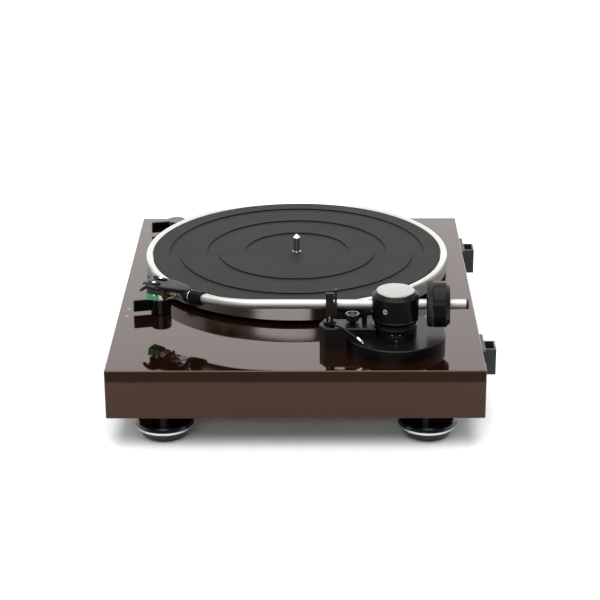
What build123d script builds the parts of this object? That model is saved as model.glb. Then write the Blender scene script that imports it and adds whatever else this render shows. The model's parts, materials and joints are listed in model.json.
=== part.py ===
from build123d import *
import math
import os

# A belt-drive record player.  Everything is drawn in the deck frame: X and Y from the plinth's
# centre, Z from the plinth's top face, front at -Y, tonearm on the right at +X.  The last lines
# move it all by DECK, so that the origin is the bottom centre of the whole object's box.

# ---- driving dimensions, millimetres and degrees ----
PLINTH_WIDTH = 420.0
PLINTH_DEPTH = 350.0
PLINTH_HEIGHT = 48.0
PLINTH_EDGE = 1.2
TOP_BOARD = 12.0
CAVITY_X = 150.0
CAVITY_Y = 159.0
REBATE = 6.0
COVER_THICKNESS = 2.8
FOOT_HEIGHT = 30.0
FOOT_RADIUS = 27.3
FOOT_NECK = 15.0
FOOT_DISC_TOP = -61.0
FOOT_X = 178.0
FOOT_Y = 123.5
RING_ABOVE_GROUND = 11.3

PLATTER_X = -55.4
PLATTER_Y = -1.1
PLATTER_RADIUS = 156.0
PLATTER_LOW = 3.8
PLATTER_TOP = 20.2
PLATE_LOW = 11.8
PLATE_TOP = 16.0
MAT_RADIUS = 149.0
MAT_TOP = 19.2
MAT_BANDS = ((0.0, 53.5), (81.0, 93.0), (121.0, 132.0))
BAND_DEPTH = 1.0
SUBPLATTER_RADIUS = 75.0
SHAFT_RADIUS = 5.0
SPINDLE_RADIUS = 3.6
SPINDLE_TIP = 36.5
SPINDLE_SHOULDER = 33.5
SPINDLE_ROOT = (4.2, 18.4)
RUNNING_GAP = 0.05

MOTOR_ANGLE = 235.0
MOTOR_DISTANCE = 112.0
PULLEY_RADIUS = 5.3
BELT_LOW = 4.1
BELT_WIDTH = 4.0
BELT_THICKNESS = 0.6

SPEED_KNOB = (66.0, -133.5)
START_KNOB = (-162.1, -134.3)
KNOB_RADIUS = 10.0
KNOB_TOP = 15.5
KNOB_ANGLE = 13.0
FIN_REACH = 27.3
FIN_THICKNESS = 4.5

PIVOT_X = 144.0
PIVOT_Y = 93.5
PIVOT_Z = 39.0
ARM_YAW = 3.2
ARM_DROP = 1.15
TUBE_RADIUS = 4.5
TUBE_WALL = 0.8
BEND_AT = 152.8
BEND_RADIUS = 100.0
HEAD_OFFSET = 24.3
TUBE_PAST_BEND = 36.0
STUB_RADIUS = 4.8
STUB_END = 66.0
WEIGHT_FRONT = 29.2
WEIGHT_LENGTH = 21.8
WEIGHT_RADIUS = 21.6
DIAL_RING = 6.0
BASE_RADIUS = 47.6
BASE_TOP = 11.0
COLLAR_RADIUS = 20.5
COLLAR_TOP = 20.5
PILLAR_RADIUS = 16.0
LOCK_SCREW_END = 29.6
DRUM_RADIUS = 22.2
DRUM_LOW = 23.7
DRUM_TOP = 52.0
CAP_RADIUS = 17.8
STYLUS_FORWARD = 55.5
STYLUS_DROP = 13.9
COLLAR_BACK = 2.6
SHELL_TOP = 9.6
SHELL_LOW = 5.4
SCREW_FORWARD = 47.5
SLOT_SPREAD = 6.35
SLOT_RUN = 9.0
LEAD_PINS = [(x, z) for x in (-2.5, 2.5) for z in (0.6, -3.9)]
PIN_END = -30.2

LIFT_X = (134.0, 158.0)
LIFT_FRONT = 22.4
LIFT_TOP = 20.0
LIFT_BAR_RADIUS = 29.0
LIFT_BAR_TOP = 33.6
ANTI_SKATE = (141.0, 53.4)
REST_Y = (28.3, 35.7)
LATCH_Y = (36.4, 38.7)
REST_WALL_X = (146.6, 150.0)

HINGE_X = 134.5
HINGE_REACH = 14.5
HINGE_TOP = -7.0
HINGE_LOW = -33.0
JACK_X = (-20.0, 0.0)
GROUND_X = -42.0
INLET_X = 50.0
SWITCH_X = 24.0
REAR_Z = -26.0
REAR_PLATE = 1.6
PANEL_RECESS = 11.0
PANEL_X = 76.0
PANEL_Z = 15.5

PLATTER_OVERHANG = PLATTER_RADIUS - PLATTER_X - PLINTH_WIDTH / 2
DECK = Pos(PLATTER_OVERHANG / 2, -HINGE_REACH / 2, PLINTH_HEIGHT + FOOT_HEIGHT)
UP = (Align.CENTER, Align.CENTER, Align.MIN)
BACK_FACE = PLINTH_DEPTH / 2
PANEL_Y = BACK_FACE - PANEL_RECESS
CAVITY_TOP = -TOP_BOARD
COVER_TOP = COVER_THICKNESS - PLINTH_HEIGHT
GROUND = -PLINTH_HEIGHT - FOOT_HEIGHT


# ---- drawing helpers ----
def rod(radius, low, high, x=0.0, y=0.0):
    """A vertical cylinder between two heights."""
    return Pos(x, y, low) * Cylinder(radius, high - low, align=UP)


def block(x_span, y_span, z_span):
    """A box between low and high values on each axis."""
    size = [span[1] - span[0] for span in (x_span, y_span, z_span)]
    centre = [(span[1] + span[0]) / 2 for span in (x_span, y_span, z_span)]
    return Pos(*centre) * Box(*size)


def turned(points, x=0.0, y=0.0):
    """A solid turned about a vertical axis from (radius, height) points."""
    outline = Plane.XZ * make_face(Polyline(*points, close=True))
    return Pos(x, y, 0) * revolve(outline, Axis.Z)


def along(start, end, radius):
    """A cylinder from one point to another."""
    start, end = Vector(*start), Vector(*end)
    frame = Plane(origin=start, z_dir=end - start)
    return frame * Cylinder(radius, (end - start).length, align=UP)


def swept(path, radius):
    """A round bar along a path."""
    return sweep(Plane(origin=path @ 0, z_dir=path % 0) * Circle(radius), path=path)


def group(shapes):
    """Several separate solids that share one node."""
    return Compound(children=[solid for shape in shapes for solid in shape.solids()])


def ring_of_points(x, y):
    """The four mirrored corners of a rectangle."""
    return [(sx * x, sy * y) for sx in (-1, 1) for sy in (-1, 1)]


# ---- frames of the tonearm ----
ARM = Pos(PIVOT_X, PIVOT_Y, PIVOT_Z) * Rot(0, 0, -ARM_YAW) * Rot(ARM_DROP, 0, 0)
BEND_END = (
    -TUBE_PAST_BEND * math.sin(math.radians(HEAD_OFFSET)),
    -BEND_AT - TUBE_PAST_BEND * math.cos(math.radians(HEAD_OFFSET)),
)
HEAD = ARM * Pos(BEND_END[0], BEND_END[1], 0) * Rot(0, 0, -HEAD_OFFSET)
HEAD_YAW = math.radians(ARM_YAW + HEAD_OFFSET)
TILT_AXIS = Vector(-math.cos(HEAD_YAW), math.sin(HEAD_YAW), 0)
MOTOR_X = PLATTER_X + MOTOR_DISTANCE * math.cos(math.radians(MOTOR_ANGLE))
MOTOR_Y = PLATTER_Y + MOTOR_DISTANCE * math.sin(math.radians(MOTOR_ANGLE))


# ---- fasteners ----
def cover_screws():
    """Countersunk screws that hold the bottom cover to the plinth's rebate."""
    places = ring_of_points(CAVITY_X + REBATE / 2, 120.0)
    places += ring_of_points(90.0, CAVITY_Y + REBATE / 2)
    low = -PLINTH_HEIGHT
    points = [(0, low), (2.6, low), (1.5, low + 1.4), (1.5, low + 12), (0, low + 12)]
    return [turned(points, x, y) for x, y in places]


def rear_screw(x, z, face_y, length):
    """A pan-head screw that enters the plinth's back from a plate's face."""
    head = along((x, face_y, z), (x, face_y + 1.5, z), 3.0)
    recess = block((x - 2.2, x + 2.2), (face_y + 0.8, face_y + 1.6), (z - 0.4, z + 0.4))
    recess += block((x - 0.4, x + 0.4), (face_y + 0.8, face_y + 1.6), (z - 2.2, z + 2.2))
    return head - recess + along((x, face_y - length, z), (x, face_y, z), 1.6)


def rear_screws():
    """The hinge sockets' four screws and the jack plate's four."""
    screws = []
    for side in (-1, 1):
        for reach in (-16.5, 16.5):
            screws.append(rear_screw(side * HINGE_X + reach, -22.0, BACK_FACE + 3.5, 11.0))
        for z in (REAR_Z - 10, REAR_Z + 10):
            screws.append(rear_screw(side * 70.0, z, PANEL_Y + REAR_PLATE, 5.5))
    return screws


def motor_screws():
    """Two screws that hold the motor plate under the top board."""
    screws = []
    for side in (-1, 1):
        x = MOTOR_X + side * 25.0
        low = CAVITY_TOP - 1.6
        screws.append(rod(3.0, low - 2.0, low, x, MOTOR_Y) + rod(1.5, low, low + 9.0, x, MOTOR_Y))
    return screws


# ---- chassis ----
def plinth():
    """The lacquered board plinth, hollow from below, with its pockets and holes."""
    body = block(
        (-PLINTH_WIDTH / 2, PLINTH_WIDTH / 2),
        (-PLINTH_DEPTH / 2, PLINTH_DEPTH / 2),
        (-PLINTH_HEIGHT, 0),
    )
    body = fillet(body.edges(), PLINTH_EDGE)
    body -= block((-CAVITY_X, CAVITY_X), (-CAVITY_Y, CAVITY_Y), (-PLINTH_HEIGHT, CAVITY_TOP))
    body -= block(
        (-CAVITY_X - REBATE, CAVITY_X + REBATE),
        (-CAVITY_Y - REBATE, CAVITY_Y + REBATE),
        (-PLINTH_HEIGHT, COVER_TOP),
    )
    body -= rod(26.0, -40.0, CAVITY_TOP, PIVOT_X, PIVOT_Y)
    body -= rod(21.0, CAVITY_TOP, 0, PIVOT_X, PIVOT_Y)
    body -= rod(12.0, CAVITY_TOP, 0, PLATTER_X, PLATTER_Y)
    body -= rod(11.0, CAVITY_TOP, 0, MOTOR_X, MOTOR_Y)
    start_x, start_y = START_KNOB
    body -= block((start_x - 13, -CAVITY_X), (start_y - 13, start_y + 13), (-30.0, CAVITY_TOP))
    for x, y in (SPEED_KNOB, START_KNOB):
        body -= rod(3.4, CAVITY_TOP, 0, x, y)
    body -= block((-62, 62), (CAVITY_Y, PANEL_Y), (REAR_Z - 9, REAR_Z + 9))
    panel_z = (REAR_Z - PANEL_Z - 0.3, REAR_Z + PANEL_Z + 0.3)
    body -= block((-PANEL_X - 0.3, PANEL_X + 0.3), (PANEL_Y, BACK_FACE), panel_z)
    for x, y in ring_of_points(FOOT_X, FOOT_Y):
        body -= rod(4.0, -PLINTH_HEIGHT, -PLINTH_HEIGHT + 13, x, y)
    for screw in cover_screws() + rear_screws() + motor_screws():
        body -= screw
    return body


def bottom_cover():
    """The sheet that closes the plinth from below."""
    edge = REBATE - 0.3
    cover = block(
        (-CAVITY_X - edge, CAVITY_X + edge),
        (-CAVITY_Y - edge, CAVITY_Y + edge),
        (-PLINTH_HEIGHT, COVER_TOP),
    )
    for screw in cover_screws():
        cover -= screw
    return cover


def feet():
    """Foot bodies with their studs, bright rings and soft pads, at the plinth's corners."""
    low = GROUND
    ring_z = low + RING_ABOVE_GROUND
    ring_points = [
        (FOOT_RADIUS - 1.5, ring_z - 1.0),
        (FOOT_RADIUS + 0.3, ring_z - 1.0),
        (FOOT_RADIUS + 0.3, ring_z + 1.0),
        (FOOT_RADIUS - 1.5, ring_z + 1.0),
    ]
    top = -PLINTH_HEIGHT
    body_points = [
        (0, low + 2),
        (22.0, low + 2),
        (26.6, ring_z - 1.6),
        (FOOT_RADIUS, ring_z - 1.0),
        (FOOT_RADIUS, ring_z + 1.6),
        (FOOT_RADIUS - 0.7, ring_z + 4.2),
        (FOOT_RADIUS - 2.3, FOOT_DISC_TOP),
        (FOOT_NECK, FOOT_DISC_TOP),
        (FOOT_NECK, top),
        (4.0, top),
        (4.0, top + 12.5),
        (0, top + 12.5),
    ]
    pad_points = [(0, low), (18.5, low), (19.5, low + 1), (19.5, low + 3.5), (0, low + 3.5)]
    bodies, rings, pads = [], [], []
    for x, y in ring_of_points(FOOT_X, FOOT_Y):
        ring, pad = turned(ring_points, x, y), turned(pad_points, x, y)
        bodies.append(turned(body_points, x, y) - ring - pad)
        rings.append(ring)
        pads.append(pad)
    return {"foot_bodies": group(bodies), "foot_rings": group(rings), "foot_pads": group(pads)}


# ---- main bearing and platter ----
def main_bearing():
    """The bearing cup with its two bushes and thrust ball."""
    x, y = PLATTER_X, PLATTER_Y
    cup = [(0, -42), (12, -42), (12, 0), (26, 0), (26, 2), (8, 2), (8, -39), (0, -39)]
    bore = SHAFT_RADIUS + RUNNING_GAP
    bushes = [
        turned([(bore, low), (8, low), (8, low + 12), (bore, low + 12)], x, y)
        for low in (-32.0, -10.0)
    ]
    return {
        "bearing_housing": turned(cup, x, y),
        "bearing_bushes": group(bushes),
        "thrust_ball": Pos(x, y, -35) * Sphere(4.0),
    }


def spindle_shaft():
    """The bearing shaft, which ends above the mat as the record spindle."""
    low = -30.95
    points = [
        (0, low),
        (SHAFT_RADIUS, low),
        (SHAFT_RADIUS, PLATE_LOW),
        (SPINDLE_ROOT[0], PLATE_LOW),
        SPINDLE_ROOT,
        (SPINDLE_RADIUS, SPINDLE_ROOT[1]),
        (SPINDLE_RADIUS, SPINDLE_SHOULDER),
        (1.0, SPINDLE_TIP),
        (0, SPINDLE_TIP),
    ]
    return turned(points, PLATTER_X, PLATTER_Y)


def subplatter():
    """The inner platter that the belt drives."""
    points = [
        (SHAFT_RADIUS, 2.6),
        (14, 2.6),
        (14, 8),
        (70, 8),
        (70, 3),
        (SUBPLATTER_RADIUS, 3),
        (SUBPLATTER_RADIUS, PLATE_LOW),
        (SHAFT_RADIUS, PLATE_LOW),
    ]
    return turned(points, PLATTER_X, PLATTER_Y)


def platter():
    """The cast platter: outer wall, flat rim and the plate that carries the mat."""
    rim = MAT_RADIUS + 0.8
    points = [
        (147, PLATTER_LOW),
        (PLATTER_RADIUS - 0.8, PLATTER_LOW),
        (PLATTER_RADIUS, PLATTER_LOW + 0.8),
        (PLATTER_RADIUS, PLATTER_TOP - 1.6),
        (PLATTER_RADIUS - 0.5, PLATTER_TOP - 0.6),
        (PLATTER_RADIUS - 1.5, PLATTER_TOP),
        (rim + 2.4, PLATTER_TOP),
        (rim, PLATTER_TOP - 1.3),
        (rim, PLATE_TOP),
        (SPINDLE_ROOT[0] + RUNNING_GAP, PLATE_TOP),
        (SPINDLE_ROOT[0] + RUNNING_GAP, PLATE_LOW),
        (147, PLATE_LOW),
    ]
    return turned(points, PLATTER_X, PLATTER_Y)


def platter_mat():
    """The rubber mat with its sunken bands."""
    mat = rod(MAT_RADIUS, PLATE_TOP, MAT_TOP, PLATTER_X, PLATTER_Y)
    for inner, outer in MAT_BANDS:
        band = rod(outer, MAT_TOP - BAND_DEPTH, MAT_TOP, PLATTER_X, PLATTER_Y)
        if inner > 0:
            band -= rod(inner, MAT_TOP - BAND_DEPTH, MAT_TOP, PLATTER_X, PLATTER_Y)
        mat -= band
    return mat - rod(SPINDLE_ROOT[0] + RUNNING_GAP, PLATE_TOP, MAT_TOP, PLATTER_X, PLATTER_Y)


# ---- motor and belt ----
def drive():
    """The motor on its plate, its shaft and crowned pulley, and the flat belt."""
    x, y = MOTOR_X, MOTOR_Y
    plate_low = CAVITY_TOP - 1.6
    plate = block((x - 29.5, x + 29.5), (y - 14, y + 14), (plate_low, CAVITY_TOP))
    plate -= rod(6.0, plate_low, CAVITY_TOP, x, y)
    can = rod(21.0, -38.0, plate_low, x, y) + rod(6.0, plate_low, CAVITY_TOP + 4, x, y)
    can -= rod(1.5 + RUNNING_GAP, -31.0, CAVITY_TOP + 4, x, y)
    for screw in motor_screws():
        plate -= screw
        can -= screw
    pulley = [
        (1.5, 2.5),
        (7.2, 2.5),
        (7.2, 3.4),
        (PULLEY_RADIUS, 3.7),
        (PULLEY_RADIUS, 8.5),
        (7.2, 8.8),
        (7.2, 9.7),
        (1.5, 9.7),
    ]
    inner = SUBPLATTER_RADIUS + RUNNING_GAP, PULLEY_RADIUS + RUNNING_GAP
    outer = inner[0] + BELT_THICKNESS, inner[1] + BELT_THICKNESS
    loops = []
    for big, small in (outer, inner):
        circles = Pos(PLATTER_X, PLATTER_Y) * Circle(big) + Pos(x, y) * Circle(small)
        loops.append(make_hull(circles.edges()))
    return {
        "motor_plate": plate,
        "motor_can": can,
        "motor_shaft": rod(1.5, -30.5, 9.7, x, y),
        "motor_pulley": turned(pulley, x, y),
        "drive_belt": Pos(0, 0, BELT_LOW) * extrude(loops[0] - loops[1], BELT_WIDTH),
    }


# ---- controls and electronics ----
def knob(place):
    """A round knob with a pointer fin, and the stem that goes down to its switch."""
    body = rod(KNOB_RADIUS, 0.4, KNOB_TOP)
    body = fillet(body.edges().filter_by(GeomType.CIRCLE), 0.6)
    fin = block((-FIN_THICKNESS / 2, FIN_THICKNESS / 2), (-FIN_REACH, 0), (2.7, KNOB_TOP - 0.6))
    fin = fillet(fin.edges(), 0.8)
    return Pos(*place, 0) * Rot(0, 0, KNOB_ANGLE) * (body + fin + rod(3.0, -17.0, 0.6))


def rotary_switch(place):
    """The switch under the top board that a knob's stem turns."""
    x, y = place
    case = block((x - 9, x + 9), (y - 9, y + 9), (-23.0, CAVITY_TOP))
    return case - rod(3.0 + RUNNING_GAP, -17.2, CAVITY_TOP, x, y)


def board(x_span, y_span, low, parts):
    """A circuit board with its tallest parts standing on it."""
    shapes = [block(x_span, y_span, (low, low + 1.6))]
    for x, y, width, depth, height in parts:
        shapes.append(block((x, x + width), (y, y + depth), (low - height, low)))
    return group(shapes)


def electronics():
    """Speed control board, phono board and the posts that hang them from the top board."""
    control_x, control_y, control_low = (-60.0, 45.0), (-152.0, -108.0), -21.6
    phono_x, phono_y, phono_low = (-60.0, 40.0), (112.0, 148.0), -27.6
    control_parts = [(-50, -145, 12, 12, 3), (-30, -140, 8, 8, 10), (-5, -142, 20, 8, 4)]
    phono_parts = [(-45, 118, 8, 6, 3), (-15, 124, 8, 8, 9), (10, 118, 8, 8, 9)]
    posts = []
    for x_span, y_span, low in (
        (control_x, control_y, control_low),
        (phono_x, phono_y, phono_low),
    ):
        for x in (x_span[0] + 4, x_span[1] - 4):
            for y in (y_span[0] + 4, y_span[1] - 4):
                posts.append(rod(3.0, low + 1.6, CAVITY_TOP, x, y))
    return {
        "control_board": board(control_x, control_y, control_low, control_parts),
        "phono_board": board(phono_x, phono_y, phono_low, phono_parts),
        "board_posts": group(posts),
    }


def rear_panel():
    """The recessed jack plate and what is mounted in it."""
    face = PANEL_Y + REAR_PLATE
    z = REAR_Z
    plate = block((-PANEL_X, PANEL_X), (PANEL_Y, face), (z - PANEL_Z, z + PANEL_Z))
    jacks = []
    for x in JACK_X:
        jack = along((x, PANEL_Y - 8, z), (x, face, z), 4.6)
        jack += along((x, face, z), (x, face + 1.8, z), 6.0)
        jack += along((x, face + 1.8, z), (x, face + 9.4, z), 4.15)
        jacks.append(jack - along((x, face + 0.4, z), (x, face + 9.4, z), 1.7))
        plate -= along((x, PANEL_Y, z), (x, face, z), 4.6)
    terminal = along((GROUND_X, PANEL_Y - 6, z), (GROUND_X, face + 9.0, z), 2.0)
    terminal += along((GROUND_X, face, z), (GROUND_X, face + 1.2, z), 5.2)
    terminal += along((GROUND_X, face + 2.4, z), (GROUND_X, face + 7.4, z), 4.5)
    plate -= along((GROUND_X, PANEL_Y, z), (GROUND_X, face, z), 2.0)
    inlet = block((INLET_X - 6, INLET_X + 6), (PANEL_Y - 12, PANEL_Y), (z - 5, z + 5))
    inlet += along((INLET_X, PANEL_Y, z), (INLET_X, face + 1.2, z), 4.6)
    inlet -= along((INLET_X, PANEL_Y - 8, z), (INLET_X, face + 1.2, z), 2.75)
    inlet += along((INLET_X, PANEL_Y - 8, z), (INLET_X, face - 1, z), 1.0)
    plate -= along((INLET_X, PANEL_Y, z), (INLET_X, face, z), 4.6)
    plate -= block((SWITCH_X - 4.6, SWITCH_X + 4.6), (PANEL_Y, face), (z - 2, z + 2))
    case = block((SWITCH_X - 9, SWITCH_X + 9), (PANEL_Y - 9, PANEL_Y), (z - 4, z + 4))
    case -= block((SWITCH_X - 4.6, SWITCH_X + 4.6), (PANEL_Y - 4, PANEL_Y), (z - 2, z + 2))
    slider = block((SWITCH_X - 4.3, SWITCH_X), (PANEL_Y - 3.8, face + 1.8), (z - 1.8, z + 1.8))
    for screw in rear_screws():
        plate -= screw
    return {
        "jack_plate": plate,
        "phono_jacks": group(jacks),
        "ground_terminal": terminal,
        "power_inlet": inlet,
        "line_switch_case": case,
        "line_switch_slider": slider,
    }


def hinge_socket(side):
    """A dust-cover hinge socket: wide plate on the plinth's back and an open-topped pocket."""
    x = side * HINGE_X
    plate_face = BACK_FACE + 3.5
    socket = block((x - 21, x + 21), (BACK_FACE, plate_face), (HINGE_LOW - 6, HINGE_TOP + 3))
    socket = fillet(socket.edges().filter_by(Axis.Y), 2.0)
    outer = block((x - 10.5, x + 10.5), (plate_face, BACK_FACE + HINGE_REACH), (HINGE_LOW, HINGE_TOP))
    socket += outer
    pocket_y = (plate_face + 1.2, BACK_FACE + HINGE_REACH - 1.8)
    socket -= block((x - 8.2, x + 8.2), pocket_y, (HINGE_LOW + 3, HINGE_TOP))
    for screw in rear_screws():
        socket -= screw
    return socket


# ---- tonearm base ----
def arm_base():
    """The round base with its collar, the sleeve through the top board and the clamp boss."""
    bore = PILLAR_RADIUS + RUNNING_GAP
    points = [
        (bore, -30),
        (20.8, -30),
        (20.8, 0),
        (BASE_RADIUS, 0),
        (BASE_RADIUS, BASE_TOP - 0.8),
        (BASE_RADIUS - 0.8, BASE_TOP),
        (COLLAR_RADIUS, BASE_TOP),
        (COLLAR_RADIUS, COLLAR_TOP),
        (bore, COLLAR_TOP),
    ]
    base = turned(points)
    boss = block((COLLAR_RADIUS - 1.0, 29.0), (-9.0, 9.0), (BASE_TOP, BASE_TOP + 5.0))
    boss = fillet(boss.edges().filter_by(Axis.Z).group_by(Axis.X)[-1], 2.0)
    base += boss
    return Pos(PIVOT_X, PIVOT_Y, 0) * (base - lock_screw_blank())


def lock_screw_blank():
    """The clamp screw without its socket, about the pillar's axis."""
    z = BASE_TOP + 2.5
    return along((PILLAR_RADIUS + 0.3, 0, z), (LOCK_SCREW_END, 0, z), 1.5)


def height_lock_screw():
    """The socket grub screw that clamps the pillar."""
    z = BASE_TOP + 2.5
    socket = along((LOCK_SCREW_END - 2.0, 0, z), (LOCK_SCREW_END, 0, z), 0.8)
    return Pos(PIVOT_X, PIVOT_Y, 0) * (lock_screw_blank() - socket)


def arm_pillar():
    """The pillar that slides in the base and carries the drum's vertical bearing."""
    bore = SHAFT_RADIUS + RUNNING_GAP
    flange_low = COLLAR_TOP + 0.3
    points = [
        (0, -26),
        (PILLAR_RADIUS, -26),
        (PILLAR_RADIUS, flange_low),
        (20.2, flange_low),
        (20.2, DRUM_LOW - 0.3),
        (bore, DRUM_LOW - 0.3),
        (bore, -20.05),
        (0, -20.05),
    ]
    return turned(points, PIVOT_X, PIVOT_Y)


def rod_place():
    """Where the lift rod stands, on the lift bar's circle."""
    angle = math.radians(6.0)
    return (
        PIVOT_X - LIFT_BAR_RADIUS * math.sin(angle),
        PIVOT_Y - LIFT_BAR_RADIUS * math.cos(angle),
    )


LEVER_HINGE = Vector(154.5, 33.0, 23.6)
LEVER_KNEE = Vector(160.5, 43.0, 22.0)
LEVER_TIP = Vector(173.0, 62.6, 12.5)
LEVER_RUN = Vector(LEVER_KNEE.X - LEVER_HINGE.X, LEVER_KNEE.Y - LEVER_HINGE.Y, 0).normalized()
LEVER_AXIS = Vector(LEVER_RUN.Y, -LEVER_RUN.X, 0)


def lift_housing():
    """The housing in front of the base: lift cylinder, dial post and the lever's ear."""
    low_x, high_x = LIFT_X
    back = PIVOT_Y - COLLAR_RADIUS + 2
    outline = Polyline(
        (low_x, LIFT_FRONT + 4.7),
        (low_x + 8.8, LIFT_FRONT),
        (high_x - 8.8, LIFT_FRONT),
        (high_x, LIFT_FRONT + 4.7),
        (high_x, back),
        (low_x, back),
        close=True,
    )
    body = extrude(make_face(outline), LIFT_TOP)
    body = chamfer(body.faces().sort_by(Axis.Z)[-1].edges(), 1.0)
    body -= rod(BASE_RADIUS + 0.1, 0, BASE_TOP + 0.1, PIVOT_X, PIVOT_Y)
    body -= rod(COLLAR_RADIUS + 0.1, 0, LIFT_TOP, PIVOT_X, PIVOT_Y)
    body += rod(3.0, LIFT_TOP, LIFT_TOP + 2, *ANTI_SKATE)
    body -= rod(2.5 + RUNNING_GAP, BASE_TOP + 0.1, LIFT_TOP, *rod_place())
    ear_face = LEVER_HINGE - LEVER_AXIS * 1.7
    ear = Pos(ear_face.X, ear_face.Y, 0) * Rot(0, 0, math.degrees(math.atan2(LEVER_AXIS.Y, LEVER_AXIS.X)))
    ear = ear * block((-1.6, 0), (-2.2, 2.2), (LIFT_TOP - 1, LEVER_HINGE.Z + 2))
    body += ear
    return body - along(LEVER_HINGE - LEVER_AXIS * 3.5, LEVER_HINGE, 0.9 + RUNNING_GAP)


def cue_lever():
    """The bent lever that works the lift, with its hub and hinge pin."""
    route = FilletPolyline(LEVER_HINGE, LEVER_KNEE, LEVER_TIP, radius=8.0)
    lever = swept(route, 1.1)
    lever += along(LEVER_HINGE - LEVER_AXIS * 1.5, LEVER_HINGE + LEVER_AXIS * 1.5, 1.9)
    return lever + along(LEVER_HINGE - LEVER_AXIS * 3.2, LEVER_HINGE, 0.9)


def lift_bar():
    """The arc-shaped bar under the arm tube, on its lift rod."""
    low = LIFT_BAR_TOP - 2.6
    bar = rod(LIFT_BAR_RADIUS + 2.5, low, LIFT_BAR_TOP) - rod(LIFT_BAR_RADIUS - 2.5, low, LIFT_BAR_TOP)
    reach = 2 * LIFT_BAR_RADIUS
    start, end = math.radians(-5.0), math.radians(47.0)
    wedge = Polyline(
        (0, 0),
        (-reach * math.sin(start), -reach * math.cos(start)),
        (-reach * math.sin(end), -reach * math.cos(end)),
        close=True,
    )
    bar = bar & Pos(0, 0, low) * extrude(make_face(wedge), 2.6)
    return Pos(PIVOT_X, PIVOT_Y, 0) * bar + rod(2.5, BASE_TOP + 0.6, low + 1, *rod_place())


def anti_skate_dial():
    """The scalloped anti-skating dial."""
    dial = rod(7.2, LIFT_TOP + 2.2, LIFT_TOP + 8.5)
    count = 12
    for index in range(count):
        dial -= Rot(0, 0, index * 360 / count) * rod(0.9, LIFT_TOP + 2.2, LIFT_TOP + 8.5, 7.5)
    return Pos(*ANTI_SKATE, 0) * dial


def armrest():
    """The armrest: foot, neck, floor under the tube and the wall beside it."""
    y = sum(REST_Y) / 2
    rest = rod(6.2, LIFT_TOP, LIFT_TOP + 2.2, 143.5, y)
    rest += rod(3.4, LIFT_TOP + 2.2, 29.5, 143.5, y)
    rest += block((137.0, REST_WALL_X[1]), REST_Y, (29.0, 32.8))
    rest += block(REST_WALL_X, REST_Y, (30.0, 52.0))
    rest += block(REST_WALL_X, (REST_Y[1], LATCH_Y[1]), (30.0, 42.4))
    return rest - latch_pin(0.9 + RUNNING_GAP)


def rest_pin():
    """The brass pin under the armrest."""
    return rod(1.2, LIFT_TOP + 2.2, 29.0, 148.2, sum(REST_Y) / 2)


LATCH_HINGE = Vector(sum(REST_WALL_X) / 2, 0, 46.6)


def latch_pin(radius):
    """The clip's hinge pin, or its bore, in the armrest's wall."""
    x, z = LATCH_HINGE.X, LATCH_HINGE.Z
    return along((x, REST_Y[1] - 2.4, z), (x, LATCH_Y[0], z), radius)


def armrest_latch():
    """The clip that swings over the tube; it stands open beside the armrest's wall."""
    latch = block((REST_WALL_X[0] + 0.2, REST_WALL_X[1] - 0.2), LATCH_Y, (43.0, 55.4))
    latch += block((REST_WALL_X[0] - 1.6, REST_WALL_X[0] + 0.4), LATCH_Y, (53.2, 55.4))
    return latch + latch_pin(0.9)


# ---- tonearm ----
def bearing_drum():
    """The drum that turns on the pillar, with windows for the tube and its vertical shaft."""
    points = [
        (0, DRUM_LOW),
        (DRUM_RADIUS - 2.5, DRUM_LOW),
        (DRUM_RADIUS - 0.6, DRUM_LOW + 1.0),
        (DRUM_RADIUS, DRUM_LOW + 3.0),
        (DRUM_RADIUS, DRUM_TOP - 3.2),
        (CAP_RADIUS + 0.5, DRUM_TOP),
        (0, DRUM_TOP),
    ]
    drum = turned(points) + rod(SHAFT_RADIUS, -20.0, DRUM_LOW + 1)
    drum -= rod(14.0, 29.0, DRUM_TOP)
    window = block((-5.6, 5.6), (-DRUM_RADIUS - 1, DRUM_RADIUS + 1), (PIVOT_Z - 7.4, PIVOT_Z + 7.4))
    drum -= Rot(0, 0, -ARM_YAW) * fillet(window.edges().filter_by(Axis.Y), 2.0)
    drum = Pos(PIVOT_X, PIVOT_Y, 0) * drum
    for screw in pivot_screws(slotted=False):
        drum -= screw
    return drum


def pivot_screws(slotted=True):
    """Two pointed screws on the tilt axis, slotted at the outer end."""
    centre = Vector(PIVOT_X, PIVOT_Y, PIVOT_Z)
    screws = []
    for side in (-1, 1):
        out = TILT_AXIS * side
        face = Plane(origin=centre + out * (DRUM_RADIUS + 0.3), z_dir=out * -1)
        depth = DRUM_RADIUS + 0.3 - 7.2
        shape = turned([(0, 0), (2.5, 0), (2.5, depth - 2.5), (0, depth)])
        if slotted:
            shape -= block((-3, 3), (-0.45, 0.45), (0, 0.9))
        screws.append(face * shape)
    return screws


def drum_cap():
    """The bright disc on the drum."""
    cap = rod(CAP_RADIUS, DRUM_TOP, DRUM_TOP + 1.2, PIVOT_X, PIVOT_Y)
    return fillet(cap.faces().sort_by(Axis.Z)[-1].edges(), 0.3)


def pivot_block():
    """The block inside the drum that joins tube and stub and sits between the screws."""
    centre = Vector(PIVOT_X, PIVOT_Y, PIVOT_Z)
    body = along(centre - TILT_AXIS * 9, centre + TILT_AXIS * 9, 7.0)
    for side in (-1, 1):
        seat = Plane(origin=centre + TILT_AXIS * side * 9, z_dir=TILT_AXIS * -side)
        body -= seat * turned([(0, 0), (2.6, 0), (0, 2.1)])
    body -= ARM * along((0, -12, 0), (0, -4, 0), TUBE_RADIUS)
    return body - ARM * along((0, 4, 0), (0, 12, 0), STUB_RADIUS)


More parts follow.
